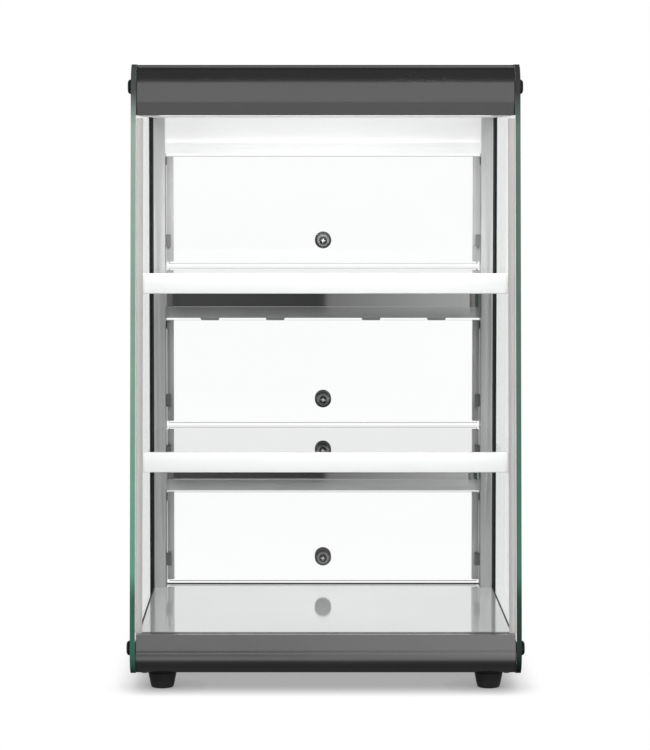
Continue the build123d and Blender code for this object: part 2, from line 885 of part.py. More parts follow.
def shelf(plane):
    """Polished tray with its edges folded down and its rear corners cut round the stiles."""
    front = lip_front(plane) + lip_thickness
    half = shelf_half_width
    low = plane - shelf_flange
    tray = block(-half, half, front, shelf_rear, low, plane)
    tray -= block(-half + sheet, half - sheet, front + sheet, shelf_rear - sheet, low - 1, plane - sheet)
    near = stile_inner - 2
    far = stile_inner + stile_notch_width
    for side in (-1, 1):
        x0 = min(side * near, side * far)
        tray -= block(x0, x0 + far - near, stile_front - 3, shelf_rear + 1, low - 1, plane + 1)
    return tray


def shelf_lip(plane):
    """White front rail with a wider upper half, hooked over the shelf's front fold."""
    front = lip_front(plane)
    back = front + lip_thickness
    top = plane + lip_above
    low = plane - lip_below
    split = top - lip_upper_band
    lip = block(-lip_half_width, lip_half_width, front, back, split, top)
    lip += block(-lip_half_width + lip_notch, lip_half_width - lip_notch, front, back, low, split)
    lip += block(-shelf_half_width, shelf_half_width, back, back + lip_hook_reach, plane, plane + sheet)
    return lip


def shelf_bracket(plane):
    """Arm under the right edge of a shelf, with a foot screwed to the front of the stile."""
    seat = plane - sheet
    front = lip_front(plane) + bracket_front_gap
    outer = shelf_half_width - sheet - 1.0
    inner = outer - bracket_thickness
    low = seat - bracket_foot_height
    foot_front = stile_front - bracket_thickness
    arm = block(inner, outer, front, stile_front, seat - bracket_arm_height, seat)
    arm += block(outer - bracket_arm_width, outer, front, stile_front, seat - 1.5, seat)
    arm += block(inner, stile_outer - 1, foot_front, stile_front, low, seat - shelf_flange)
    arm += block(inner, outer, foot_front, stile_front, low, seat)
    hole = bracket_screw_radius + 0.3
    arm -= rod_y(bracket_screw_x, plane - bracket_screw_drop, hole, foot_front - 1, stile_front + 1)
    return arm


def bracket_screw(z):
    """Flat-headed screw through a bracket's foot into the stile."""
    seat = stile_front - bracket_thickness
    x = bracket_screw_x
    screw = rod_y(x, z, bracket_screw_head_radius, seat - bracket_screw_head_height, seat)
    return screw + rod_y(x, z, bracket_screw_radius, seat, stile_front + 5)


# ---- doors -----------------------------------------------------------------------------------
def door_heights(tier):
    """Underside of the panel, hinge height and top of the door for one tier."""
    plane, rail = tiers[tier]
    top = rail - door_top_gap
    return plane + door_panel_lift, top - hinge_drop, top


def door_panel(tier):
    """Clear flap, with a hole for the knob screw."""
    low, _, top = door_heights(tier)
    half = door_half - strip_pocket - 2 * strip_grip_play
    panel = block(-half, half, door_back - door_panel_thickness, door_back, low, top)
    knob_z = tiers[tier][0] + knob_height
    return panel - rod_y(0, knob_z, knob_screw_radius + foot_screw_clearance, door_back - 10, door_back + 1)


def door_side_strip(tier):
    """Channel that grips the panel's edge and holds the hinge pin."""
    low, hinge, top = door_heights(tier)
    low = tiers[tier][0] + door_strip_lift
    inner = door_half - door_strip_width
    half = door_strip_depth / 2
    strip = block(inner, door_half, door_middle - half, door_middle + half, low, top)
    grip = door_panel_thickness / 2 + strip_grip_play
    pocket = door_half - strip_pocket
    strip -= block(inner - 1, pocket, door_middle - grip, door_middle + grip, low - 1, top + 1)
    return strip - rod_x(door_middle, hinge, hinge_pin_radius + strip_grip_play, door_half - 3, door_half + 1)


def hinge_pin(tier):
    """Stub pin fixed in the strip, turning in the stile's bush."""
    hinge = door_heights(tier)[1]
    end = stile_inner + hinge_bush_length
    return rod_x(door_middle, hinge, hinge_pin_radius, door_half - strip_pocket, end)


def hinge_bush(tier):
    """Flanged plastic bush in the stile's inner wall."""
    hinge = door_heights(tier)[1]
    end = stile_inner + hinge_bush_length
    bush = rod_x(door_middle, hinge, hinge_bush_radius, stile_inner, end)
    bush += rod_x(door_middle, hinge, hinge_bush_flange_radius, stile_inner - hinge_bush_flange, stile_inner)
    hole = hinge_pin_radius + hinge_pin_clearance
    return bush - rod_x(door_middle, hinge, hole, stile_inner - 3, end + 1)


def door_knob(tier):
    """Turned knob behind the panel, tapped for its screw."""
    knob_z = tiers[tier][0] + knob_height
    neck_end = door_back + knob_length * knob_neck_share
    knob = rod_y(0, knob_z, knob_radius, door_back, door_back + knob_flange)
    knob += rod_y(0, knob_z, knob_neck_radius, door_back, neck_end)
    head = rod_y(0, knob_z, knob_radius, neck_end, door_back + knob_length)
    knob += fillet(head.edges(), knob_edge_radius)
    return knob - rod_y(0, knob_z, knob_screw_radius + glass_screw_play, door_back - 1, door_back + 11)


def knob_screw(tier):
    """Pan-head screw with a washer, in front of the panel."""
    knob_z = tiers[tier][0] + knob_height
    face = door_back - door_panel_thickness
    seat = face - knob_washer_thickness
    tip = seat - knob_screw_head_height
    screw = rod_y(0, knob_z, knob_washer_radius, seat, face)
    head = rod_y(0, knob_z, knob_screw_head_radius, tip, seat)
    screw += fillet(head.edges().group_by(Axis.Y)[0], 1.4)
    long = screw_slot_half
    wide = screw_slot_half_width
    screw -= block(-long, long, tip - 1, tip + screw_slot_depth, knob_z - wide, knob_z + wide)
    screw -= block(-wide, wide, tip - 1, tip + screw_slot_depth, knob_z - long, knob_z + long)
    return screw + rod_y(0, knob_z, knob_screw_radius, seat, door_back + 10)


def catch_face():
    """Y of the face that a door's edge closes against."""
    return door_middle - door_strip_depth / 2 - catch_gap


def door_catch(tier):
    """Stop on the stile in front of the door's edge, with a pocket for its magnet."""
    z = tiers[tier][0] + knob_height
    back = catch_face()
    half = catch_size / 2
    catch = block(stile_inner - catch_width, stile_inner, back - catch_depth, back, z - half, z + half)
    pocket = magnet_radius + glass_screw_play
    return catch - rod_y(stile_inner - catch_width / 2, z, pocket, back - magnet_length - 0.1, back + 1)


def catch_magnet(tier):
    """Round magnet just below the face of a door's stop."""
    z = tiers[tier][0] + knob_height
    back = catch_face() - 0.1
    return rod_y(stile_inner - catch_width / 2, z, magnet_radius, back - magnet_length, back)


# ---- writing ---------------------------------------------------------------------------------
def both(shape):
    """A piece and its mirror image."""
    return [shape, mirrored(shape)]


def main():
    os.makedirs("parts", exist_ok=True)
    hinge_heights = [door_heights(tier)[1] for tier in tiers]

    save("side_glass_right", side_glass())
    save("side_glass_left", mirrored(side_glass()))
    save("base_gaskets", *both(housing_gasket(0, deck_height - sheet)))
    save("top_gaskets", *both(housing_gasket(header_bottom, case_height + 5)))
    save("rear_gasket_right", rear_gasket())
    save("rear_gasket_left", mirrored(rear_gasket()))
    bushes = [screw_bush(y, z) for y, z in glass_screw_places()]
    screws = [glass_screw(*place) for place in glass_screw_places()]
    save("screw_bushes", *bushes, *[mirrored(bush) for bush in bushes])
    save("side_screws", *screws, *[mirrored(screw) for screw in screws])

    save("bottom_front_profile", bottom_front_profile())
    save("top_front_profile", top_front_profile())
    save("front_glass", front_glass())
    save("front_seal_right", front_seal())
    save("front_seal_left", mirrored(front_seal()))

    save("base_pan", base_pan())
    save("base_deck", base_deck())
    save("rubber_feet", *[rubber_foot(x, y) for x, y in foot_places()])
    save("foot_screws", *[foot_screw(x, y) for x, y in foot_places()])
    save("pan_screws", *[pan_screw(x, y) for x, y in pan_screw_places()])

    save("top_cover", top_cover())
    save("ceiling_panel", ceiling_panel())
    save("led_channel", led_channel())
    save("led_strip", led_strip())
    save("led_diffuser", led_diffuser())
    save("led_driver", led_driver())
    save("led_lead", led_lead())
    save("cable_gland", cable_gland())
    save("gland_nut", gland_nut())
    save("switch_housing", switch_housing())
    save("switch_rocker", switch_rocker())

    save("rear_stile_right", rear_stile(hinge_heights))
    save("rear_stile_left", left_stile(hinge_heights))
    save("rear_top_rail", rear_rail(tiers["top"][1], header_bottom))
    save("rear_upper_rail", rear_rail(tiers["middle"][1], upper_plane - 1))
    save("rear_lower_rail", rear_rail(tiers["bottom"][1], lower_plane - 1))
    save("rail_tabs", *rail_tabs(tiers["middle"][1]))

    planes = {"lower": lower_plane, "upper": upper_plane}
    for name, plane in planes.items():
        save("shelf_" + name, shelf(plane))
        save("shelf_" + name + "_lip", shelf_lip(plane))
        save("shelf_" + name + "_brackets", *both(shelf_bracket(plane)))
    bracket_screws = [bracket_screw(plane - bracket_screw_drop) for plane in planes.values()]
    save("bracket_screws", *bracket_screws, *[mirrored(screw) for screw in bracket_screws])

    bushes = [hinge_bush(tier) for tier in tiers]
    catches = [door_catch(tier) for tier in tiers]
    magnets = [catch_magnet(tier) for tier in tiers]
    save("hinge_bushes", *bushes, *[mirrored(bush) for bush in bushes])
    save("door_catches", *catches, *[mirrored(catch) for catch in catches])
    save("catch_magnets", *magnets, *[mirrored(magnet) for magnet in magnets])
    for tier in tiers:
        save(tier + "_door_panel", door_panel(tier))
        save(tier + "_door_strips", *both(door_side_strip(tier)))
        save(tier + "_door_pins", *both(hinge_pin(tier)))
        save(tier + "_door_knob", door_knob(tier))
        save(tier + "_door_screw", knob_screw(tier))


main()
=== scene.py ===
# %% [markdown]
# Bakery display case, dressed in Blender
#
# The case stands on a counter and shows bread on three levels. Its frame, glass, doors and screws come
# as finished solids that already sit in the right place. Each cell below either gives a surface its
# finish or models a small piece that needs softer edges than the plain solids have.

# %% Load the frame
import json
import math

import bpy
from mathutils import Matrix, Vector


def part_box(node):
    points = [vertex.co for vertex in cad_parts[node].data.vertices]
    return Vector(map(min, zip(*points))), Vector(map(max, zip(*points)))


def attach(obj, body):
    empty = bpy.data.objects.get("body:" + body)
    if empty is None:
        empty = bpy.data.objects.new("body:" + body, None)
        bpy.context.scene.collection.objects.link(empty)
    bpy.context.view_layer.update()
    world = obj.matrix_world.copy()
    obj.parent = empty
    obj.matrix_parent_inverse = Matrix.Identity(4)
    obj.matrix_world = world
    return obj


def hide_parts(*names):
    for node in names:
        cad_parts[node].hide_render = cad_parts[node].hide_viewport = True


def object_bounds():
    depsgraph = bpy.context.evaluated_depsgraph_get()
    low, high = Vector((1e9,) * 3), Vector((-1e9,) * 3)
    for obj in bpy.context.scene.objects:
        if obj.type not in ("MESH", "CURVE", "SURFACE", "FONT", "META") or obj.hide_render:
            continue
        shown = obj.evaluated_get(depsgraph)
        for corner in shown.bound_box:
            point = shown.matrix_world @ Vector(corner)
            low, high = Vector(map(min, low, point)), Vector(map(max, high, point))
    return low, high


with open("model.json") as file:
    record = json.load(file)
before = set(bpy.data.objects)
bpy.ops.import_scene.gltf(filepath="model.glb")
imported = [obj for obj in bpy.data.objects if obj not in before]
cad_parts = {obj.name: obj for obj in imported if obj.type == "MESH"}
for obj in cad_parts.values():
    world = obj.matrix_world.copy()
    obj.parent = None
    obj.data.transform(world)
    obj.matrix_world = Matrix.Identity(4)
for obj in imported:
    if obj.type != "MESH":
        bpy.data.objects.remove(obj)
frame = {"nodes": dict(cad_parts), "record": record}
cad_low, cad_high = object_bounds()
centre = (cad_low + cad_high) / 2
bpy.ops.object.select_all(action="DESELECT")

# %% [markdown]
# The camera stands nearly three metres off, a little left of the middle and near the top of the case, far
# enough that the sides stay almost parallel. A long lens fills the view from there. It tips down by three
# degrees, and the rest of the drop is lens shift. A closer camera would need a wider lens, and the sides
# would lean.

# %% Camera
CAMERA_DISTANCE = 2.651
CAMERA_LEFT = 0.0235
CAMERA_HEIGHT = 0.5334
CAMERA_TILT = math.radians(2.958)

glass_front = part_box("side_glass_left")[0].y
camera_data = bpy.data.cameras.new("camera")
camera_data.lens = 132.45
camera_data.sensor_width = 36.0
camera_data.shift_x = 0.0313
camera_data.shift_y = -0.12
camera = bpy.data.objects.new("camera", camera_data)
camera.location = (centre.x - CAMERA_LEFT, glass_front - CAMERA_DISTANCE, CAMERA_HEIGHT)
camera.rotation_euler = (math.radians(90) - CAMERA_TILT, 0, 0)
bpy.context.scene.collection.objects.link(camera)
bpy.context.scene.camera = camera
bpy.context.scene.view_settings.view_transform = "Standard"
print("camera", round(CAMERA_DISTANCE, 2), "m in front of the glass")

# %% [markdown]
# A node tree is easier to read when each node is one short line. These helpers add a node with its
# settings and join two sockets. Every finish below uses them.

# %% Node helpers
def add(tree, kind, inputs=None, **settings):
    node = tree.nodes.new(kind)
    for key, value in settings.items():
        setattr(node, key, value)
    for key, value in (inputs or {}).items():
        node.inputs[key].default_value = value
    return node


def join(tree, source, output, target, socket):
    tree.links.new(source.outputs[output], target.inputs[socket])


def grey(level, warm=0.0):
    return (level * (1 + warm), level, level * (1 - warm), 1)


# %% [markdown]
# Glass and polished steel show their surroundings more than themselves, so the room matters. The backdrop
# is white, and what the metal mirrors is the darker room behind the camera: a grey band at eye level,
# dark above, and low down a dark left half beside a lighter right half. A picture of a room could wrap
# round the scene, but a few ramps on the ray's direction say the same and stay easy to change. Each stop
# below pairs a direction, from -1 to 1 along an axis, with how bright the room is there.

# %% Room
def ramp(tree, split, axis, start, end, first, last):
    """A value that runs from first to last while one coordinate runs from start to end."""
    span = {"From Min": start, "From Max": end, "To Min": first, "To Max": last}
    node = add(tree, "ShaderNodeMapRange", span)
    join(tree, split, axis, node, "Value")
    return node


def tones(tree, split, axis, stops):
    """Grey levels at given directions along an axis, blended in between."""
    first, last = stops[0][0], stops[-1][0]
    across = ramp(tree, split, axis, first, last, 0.0, 1.0)
    node = add(tree, "ShaderNodeValToRGB")
    elements = node.color_ramp.elements
    for direction, _ in stops[1:-1]:
        elements.new((direction - first) / (last - first))
    for element, (_, tone) in zip(elements, stops):
        element.color = grey(tone)
    join(tree, across, "Result", node, "Fac")
    return node


LOW_ROOM = [(-0.06, 0.060), (-0.018, 0.045), (0.0078, 0.034), (0.0098, 0.195), (0.035, 0.31), (0.08, 0.55)]
REAR_ROOM = [(-0.42, 0.05), (-0.28, 0.40), (-0.02, 0.55), (0.0, 0.95)]
REAR_ROOM += [(0.158, 0.95), (0.19, 0.72), (0.4, 0.35)]
NEAR_FLOOR = 0.30
EYE_LEVEL = 0.46
DARK = 0.10


def room_light():
    world = bpy.data.worlds.new("studio")
    world.use_nodes = True
    tree = world.node_tree
    tree.nodes.clear()
    coords = add(tree, "ShaderNodeTexCoord")
    split = add(tree, "ShaderNodeSeparateXYZ")
    join(tree, coords, "Generated", split, "Vector")

    side = tones(tree, split, "X", LOW_ROOM)
    below_eye = ramp(tree, split, "Z", -0.30, -0.24, 0.0, 1.0)
    halves = add(tree, "ShaderNodeMix", {"A": NEAR_FLOOR}, data_type="FLOAT")
    join(tree, below_eye, "Result", halves, "Factor")
    join(tree, side, "Color", halves, "B")
    eye_band = ramp(tree, split, "Z", -0.035, -0.015, 0.0, 1.0)
    low = add(tree, "ShaderNodeMix", {"B": EYE_LEVEL}, data_type="FLOAT")
    join(tree, eye_band, "Result", low, "Factor")
    join(tree, halves, "Result", low, "A")

    above = ramp(tree, split, "Z", 0.20, 0.38, 1.0, DARK)
    under = ramp(tree, split, "Z", -0.68, -0.52, DARK, 1.0)
    front = add(tree, "ShaderNodeMath", operation="MULTIPLY")
    join(tree, low, "Result", front, 0)
    join(tree, under, "Result", front, 1)
    behind = ramp(tree, split, "Y", -0.12, 0.12, 0.0, 1.0)
    backdrop = tones(tree, split, "Z", REAR_ROOM)
    around = add(tree, "ShaderNodeMix", data_type="FLOAT")
    join(tree, behind, "Result", around, "Factor")
    join(tree, front, "Value", around, "A")
    join(tree, backdrop, "Color", around, "B")
    room = add(tree, "ShaderNodeMath", operation="MULTIPLY")
    join(tree, around, "Result", room, 0)
    join(tree, above, "Result", room, 1)

    seen = add(tree, "ShaderNodeBackground", {"Color": (1, 1, 1, 1), "Strength": 1.0})
    mirrored = add(tree, "ShaderNodeBackground", {"Color": (1, 1, 1, 1)})
    join(tree, room, "Value", mirrored, "Strength")
    path = add(tree, "ShaderNodeLightPath")
    mix = add(tree, "ShaderNodeMixShader")
    join(tree, path, "Is Camera Ray", mix, "Fac")
    join(tree, mirrored, "Background", mix, 1)
    join(tree, seen, "Background", mix, 2)
    output = add(tree, "ShaderNodeOutputWorld")
    join(tree, mix, "Shader", output, "Surface")
    bpy.context.scene.world = world


room_light()
print("room", len(bpy.context.scene.world.node_tree.nodes), "nodes")

# %% [markdown]
# Four large soft lamps do the work of the studio: one in front and above for the white lips, one from
# each side and one from behind. They don't show in mirrors, because the room already does that job.

# %% Lamps
def soft_lamp(name, place, target, size, power):
    data = bpy.data.lights.new(name, "AREA")
    data.shape = "RECTANGLE"
    data.size, data.size_y = size
    data.energy = power
    lamp = bpy.data.objects.new(name, data)
    lamp.location = place
    lamp.rotation_euler = (Vector(target) - Vector(place)).to_track_quat("-Z", "Y").to_euler()
    lamp.visible_glossy = False
    lamp.visible_camera = False
    bpy.context.scene.collection.objects.link(lamp)
    return lamp


middle = (centre.x, centre.y, centre.z)
soft_lamp("front_softbox", (0.1, -2.4, 1.5), middle, (2.2, 1.4), 74)
soft_lamp("left_softbox", (-2.2, -0.4, 1.3), middle, (1.6, 1.6), 26)
soft_lamp("right_softbox", (2.2, -0.2, 1.3), middle, (1.6, 1.6), 30)
soft_lamp("back_wash", (0.0, 2.2, 1.6), middle, (2.4, 1.4), 30)
print("lamps", len(bpy.data.lights))

# %% [markdown]
# The floor is a plain white sweep with no edge in sight. A lit surface would fall off into grey far away,
# so this one gives off its own even white, and only darkens where the case stands close above it. An
# ambient occlusion node measures that: it tells how much of the space just above a point is taken.

# %% Floor
SHADOW_REACH = 0.034
SHADOW_TONE = 0.22
FLOOR_SIZE = 40


def floor_finish():
    material = bpy.data.materials.new("pale_floor")
    material.use_nodes = True
    tree = material.node_tree
    tree.nodes.clear()
    closeness = add(tree, "ShaderNodeAmbientOcclusion", {"Distance": SHADOW_REACH}, samples=12)
    tone = ramp(tree, closeness, "AO", 0.05, 0.93, SHADOW_TONE, 1.0)
    glow = add(tree, "ShaderNodeEmission", {"Color": (1, 1, 1, 1)})
    join(tree, tone, "Result", glow, "Strength")
    output = add(tree, "ShaderNodeOutputMaterial")
    join(tree, glow, "Emission", output, "Surface")
    return material


bpy.ops.mesh.primitive_plane_add(size=FLOOR_SIZE, location=(0, 0, cad_low.z))
floor = bpy.context.object
floor.name = "floor"
floor.data.transform(floor.matrix_world)
floor.matrix_world.identity()
floor.data.materials.append(floor_finish())
floor.visible_glossy = False
floor.visible_diffuse = False
print("floor", round(floor.dimensions.x), "m wide")

# %% [markdown]
# Toughened glass is clear across its face and green at its edge, because light in the edge has come a long
# way through the sheet. One finish does both: the object's own normal says which faces are the broad
# ones, they let light straight through and mirror a little, and the narrow ones get the green. Real
# refraction could do this too, but it needs far more samples before it is free of noise.

# %% Glass recipe
def object_position(tree, scale=(1, 1, 1)):
    coords = add(tree, "ShaderNodeTexCoord")
    mapping = add(tree, "ShaderNodeMapping", {"Scale": scale})
    join(tree, coords, "Object", mapping, "Vector")
    return mapping


def broad_face(tree, axis):
    """1 on faces that look along the sheet's thin axis, 0 on its edges."""
    coords = add(tree, "ShaderNodeTexCoord")
    split = add(tree, "ShaderNodeSeparateXYZ")
    join(tree, coords, "Normal", split, "Vector")
    size = add(tree, "ShaderNodeMath", operation="ABSOLUTE")
    join(tree, split, axis, size, 0)
    broad = add(tree, "ShaderNodeMath", {1: 0.9}, operation="GREATER_THAN")
    join(tree, size, "Value", broad, 0)
    return broad


def sheet_glass(name, axis, face_tint, edge_tones, index=1.45, mirror_limit=0.14):
    material = bpy.data.materials.new(name)
    material.use_nodes = True
    tree = material.node_tree
    tree.nodes.clear()
    clear = add(tree, "ShaderNodeBsdfTransparent", {"Color": face_tint})
    shine = add(tree, "ShaderNodeBsdfGlossy", {"Color": (1, 1, 1, 1), "Roughness": 0.0})
    fresnel = add(tree, "ShaderNodeFresnel", {"IOR": index})
    mild = add(tree, "ShaderNodeMath", {1: mirror_limit}, operation="MINIMUM")
    join(tree, fresnel, "Fac", mild, 0)
    face = add(tree, "ShaderNodeMixShader")
    join(tree, mild, "Value", face, "Fac")
    join(tree, clear, "BSDF", face, 1)
    join(tree, shine, "BSDF", face, 2)

    place = object_position(tree)
    split = add(tree, "ShaderNodeSeparateXYZ")
    join(tree, place, "Vector", split, "Vector")
    level = ramp(tree, split, "Z", cad_low.z, cad_high.z, 0.0, 1.0)
    edge_colour = add(tree, "ShaderNodeValToRGB")
    for spot in edge_tones[2:]:
        edge_colour.color_ramp.elements.new(spot[0])
    for element, (spot, tone) in zip(edge_colour.color_ramp.elements, edge_tones):
        element.position = spot
        element.color = tone
    join(tree, level, "Result", edge_colour, "Fac")
    clouds = add(tree, "ShaderNodeTexNoise", {"Scale": 45.0, "Detail": 3.0})
    join(tree, place, "Vector", clouds, "Vector")
    cloudy = add(tree, "ShaderNodeMix", {"Factor": 0.16}, data_type="RGBA", blend_type="OVERLAY")
    join(tree, edge_colour, "Color", cloudy, "A")
    join(tree, clouds, "Color", cloudy, "B")
    ground = {"Roughness": 0.14, "IOR": 1.45, "Specular IOR Level": 0.25}
    edge = add(tree, "ShaderNodeBsdfPrincipled", ground)
    # Painted shade: towards the rear of the sheet the edge colour turns nearly black.
    rear = ramp(tree, split, "Y", 0.10, 0.15, 0.0, 1.0)
    shade = add(tree, "ShaderNodeMix", {"B": (0.006, 0.010, 0.009, 1)}, data_type="RGBA")
    join(tree, rear, "Result", shade, "Factor")
    join(tree, cloudy, "Result", shade, "A")
    join(tree, shade, "Result", edge, "Base Color")

    mix = add(tree, "ShaderNodeMixShader")
    join(tree, broad_face(tree, axis), "Value", mix, "Fac")
    join(tree, edge, "BSDF", mix, 1)
    join(tree, face, "Shader", mix, 2)
    output = add(tree, "ShaderNodeOutputMaterial")
    join(tree, mix, "Shader", output, "Surface")
    return material


# %% [markdown]
# The colour of a ground edge is painted light and shade: it stands for what shows behind the edge, so it
# changes on the way up: darker beside the sill, light green beside the open tiers, and nearly black beside
# the header. The two sides are a lit and a shaded copy, because one side of the room is lighter. One helper
# turns six tones into a ramp, and four finishes use the recipe above: two side glasses, the front pane and
# the acrylic of the doors.

# %% Glass edges and finishes
def painted_edge_range(low, near_sill, middle, high, under_header, top):
    """Painted light and shade up the edge of a side glass: dark where the sill stands behind it, light
    where nothing does, near black at the header.
    """
    heights = (0.03, 0.15, 0.19, 0.55, 0.90, 0.955)
    return list(zip(heights, (low, near_sill, middle, high, under_header, top)))


# Painted light and shade: the left edge's tones, the lighter copy.
left_edge_painted_light = painted_edge_range(
    (0.035, 0.115, 0.085, 1),
    (0.035, 0.105, 0.075, 1),
    (0.10, 0.27, 0.20, 1),
    (0.17, 0.29, 0.23, 1),
    (0.24, 0.30, 0.27, 1),
    (0.05, 0.055, 0.055, 1),
)
# Painted shade: the right edge's tones, a darker copy of the left ones.
right_edge_painted_shade = painted_edge_range(
    (0.012, 0.022, 0.018, 1),
    (0.02, 0.05, 0.036, 1),
    (0.05, 0.15, 0.11, 1),
    (0.075, 0.125, 0.105, 1),
    (0.09, 0.125, 0.11, 1),
    (0.03, 0.03, 0.03, 1),
)
plain_edge = [(0.0, (0.10, 0.20, 0.16, 1)), (1.0, (0.16, 0.26, 0.21, 1))]
acrylic_edge = [(0.0, (0.84, 0.86, 0.87, 1)), (1.0, (0.88, 0.90, 0.90, 1))]
left_glass_finish = sheet_glass("side_glass_left", "X", (0.985, 0.993, 0.989, 1), left_edge_painted_light)
right_glass_finish = sheet_glass("side_glass_right", "X", (0.985, 0.993, 0.989, 1), right_edge_painted_shade)
pane_finish = sheet_glass("front_pane", "Y", (0.997, 1.0, 0.999, 1), plain_edge, 1.22, 0.4)
acrylic_finish = sheet_glass("door_acrylic", "Y", (0.997, 0.998, 0.998, 1), acrylic_edge, 1.22, 0.4)
print("clear finishes", pane_finish.name, acrylic_finish.name)

# %% [markdown]
# Metal and plastic finishes share one recipe: a base colour that drifts a little over the piece, fine
# grain that runs one way or every way, faint rubbed specks, and roughness that the grain and finger marks
# change. The grain's direction comes from how far its pattern is stretched along X, Y and Z: a small
# number draws it out into lines.

# %% Grained finish
ALONG_X = (0.02, 1.0, 1.0)
ALONG_Z = (1.0, 1.0, 0.02)
EVERY_WAY = (1.0, 1.0, 1.0)
FINE, SOFT, COARSE = 2500, 1600, 1200


def grained(
    name, dark, light, metallic, roughness, stretch, grain=FINE, depth=0.02, coat=0.0, spread=0.08, rub=0.2
):
    """Drifting colour, grain, rubbed specks and uneven roughness, all read from the piece's own space."""
    material = bpy.data.materials.new(name)
    material.use_nodes = True
    tree = material.node_tree
    shader = tree.nodes["Principled BSDF"]
    shader.inputs["Metallic"].default_value = metallic
    shader.inputs["Coat Weight"].default_value = coat
    shader.inputs["Coat Roughness"].default_value = 0.12

    wide = object_position(tree)
    drift = add(tree, "ShaderNodeTexNoise", {"Scale": 9.0, "Detail": 4.0, "Roughness": 0.6})
    join(tree, wide, "Vector", drift, "Vector")
    colour = add(tree, "ShaderNodeMix", {"A": dark, "B": light}, data_type="RGBA")
    join(tree, drift, "Fac", colour, "Factor")

    fine = object_position(tree, stretch)
    lines = add(tree, "ShaderNodeTexNoise", {"Scale": grain, "Detail": 3.0, "Roughness": 0.55})
    join(tree, fine, "Vector", lines, "Vector")
    specks = ramp(tree, lines, "Fac", 0.62, 0.80, 0.0, rub)
    worn = [min(value * 1.5, 1) for value in light[:3]] + [1]
    rubbed = add(tree, "ShaderNodeMix", {"B": worn}, data_type="RGBA")
    join(tree, specks, "Result", rubbed, "Factor")
    join(tree, colour, "Result", rubbed, "A")
    join(tree, rubbed, "Result", shader, "Base Color")

    marks = add(tree, "ShaderNodeMath", operation="ADD")
    join(tree, lines, "Fac", marks, 0)
    join(tree, drift, "Fac", marks, 1)
    rough = ramp(tree, marks, "Value", 0.5, 1.5, max(roughness - spread, 0.01), roughness + spread)
    join(tree, rough, "Result", shader, "Roughness")
    bump = add(tree, "ShaderNodeBump", {"Strength": depth, "Distance": 0.0002})
    join(tree, lines, "Fac", bump, "Height")
    join(tree, bump, "Normal", shader, "Normal")
    return material


# %% [markdown]
# The metals come first. Folded and rolled sheet is grained along its length, turned pieces every way, and
# the stiles upwards. What sets the steels apart is how metallic and how rough they are: the shelves
# mirror sharply, the stiles scatter. The ceiling sheet lies beside the light strip, and its glow is
# painted light: the sheet and the top rail give off light of their own in place of the strip's light.

# %% Metal finishes
profile_finish = grained(
    "dark_profile", grey(0.27), grey(0.33), 0.96, 0.24, ALONG_X, depth=0.05, spread=0.05
)
# Painted light: a lighter copy of the header profile's finish, so the sill reads brighter.
sill_painted_light_finish = grained(
    "sill_profile_painted_light", grey(0.40), grey(0.47), 0.96, 0.24, ALONG_X, depth=0.03, spread=0.04
)
sheet_finish = grained(
    "dark_sheet", grey(0.040), grey(0.055), 0.0, 0.48, EVERY_WAY, grain=1400, depth=0.35
)
deck_finish = grained(
    "deck_steel", grey(0.80), grey(0.90), 0.42, 0.06, ALONG_X, depth=0.01, spread=0.02, rub=0.1
)
mirror_finish = grained(
    "polished_steel", grey(0.74), grey(0.79), 1.0, 0.016, ALONG_X, depth=0.001, spread=0.006, rub=0.05
)
satin_finish = grained(
    "satin_steel", grey(0.64), grey(0.72), 0.45, 0.30, ALONG_Z, depth=0.006, spread=0.03, rub=0.05
)
painted_glow_ceiling_finish = grained(
    "ceiling_with_painted_glow", grey(0.88), grey(0.94), 0.1, 0.40, ALONG_X, depth=0.02, rub=0.1
)
# Painted light: the ceiling sheet and the top rail glow by themselves, as a stand-in for the strip's light.
CEILING_PAINTED_GLOW = 0.28
ceiling_shader = painted_glow_ceiling_finish.node_tree.nodes["Principled BSDF"]
ceiling_shader.inputs["Emission Color"].default_value = (1, 1, 1, 1)
ceiling_shader.inputs["Emission Strength"].default_value = CEILING_PAINTED_GLOW
plated_finish = grained("plated_steel", grey(0.72), grey(0.85), 1.0, 0.16, EVERY_WAY, depth=0.05)
knob_finish = grained("knob_metal", grey(0.15), grey(0.21), 0.85, 0.26, EVERY_WAY, depth=0.08)
aluminium_finish = grained("aluminium", grey(0.68), grey(0.78), 1.0, 0.35, ALONG_X, depth=0.06)
print("metals", profile_finish.name, "to", aluminium_finish.name)

# %% [markdown]
# Plastic, rubber and painted pieces use the same recipe with no metal in it. Moulds leave a fine even
# texture, so their grain runs every way, coarser than on metal, and the white lips get a thin clear coat.
# Only the blackened screws keep some metal under their coating.

# %% Plastic, rubber and painted finishes
lip_finish = grained(
    "white_lip", grey(0.90), grey(0.95), 0.0, 0.30, EVERY_WAY, grain=COARSE, depth=0.08, coat=0.3
)
rubber_finish = grained(
    "black_rubber", grey(0.012), grey(0.022), 0.0, 0.62, EVERY_WAY, grain=1800, depth=0.4
)
black_plastic_finish = grained(
    "black_plastic", grey(0.014), grey(0.024), 0.0, 0.42, EVERY_WAY, grain=SOFT, depth=0.4
)
catch_finish = grained(
    "catch_plastic", grey(0.16), grey(0.22), 0.0, 0.45, EVERY_WAY, grain=SOFT, depth=0.3
)
grey_plastic_finish = grained(
    "grey_plastic", grey(0.50), grey(0.60), 0.0, 0.45, EVERY_WAY, grain=SOFT, depth=0.3
)
black_screw_finish = grained(
    "black_screw", grey(0.012), grey(0.03), 0.6, 0.30, EVERY_WAY, depth=0.2
)
board_finish = grained("light_board", grey(0.75, 0.03), grey(0.9, 0.04), 0.0, 0.5, EVERY_WAY)
print("plastics", lip_finish.name, "to", board_finish.name)

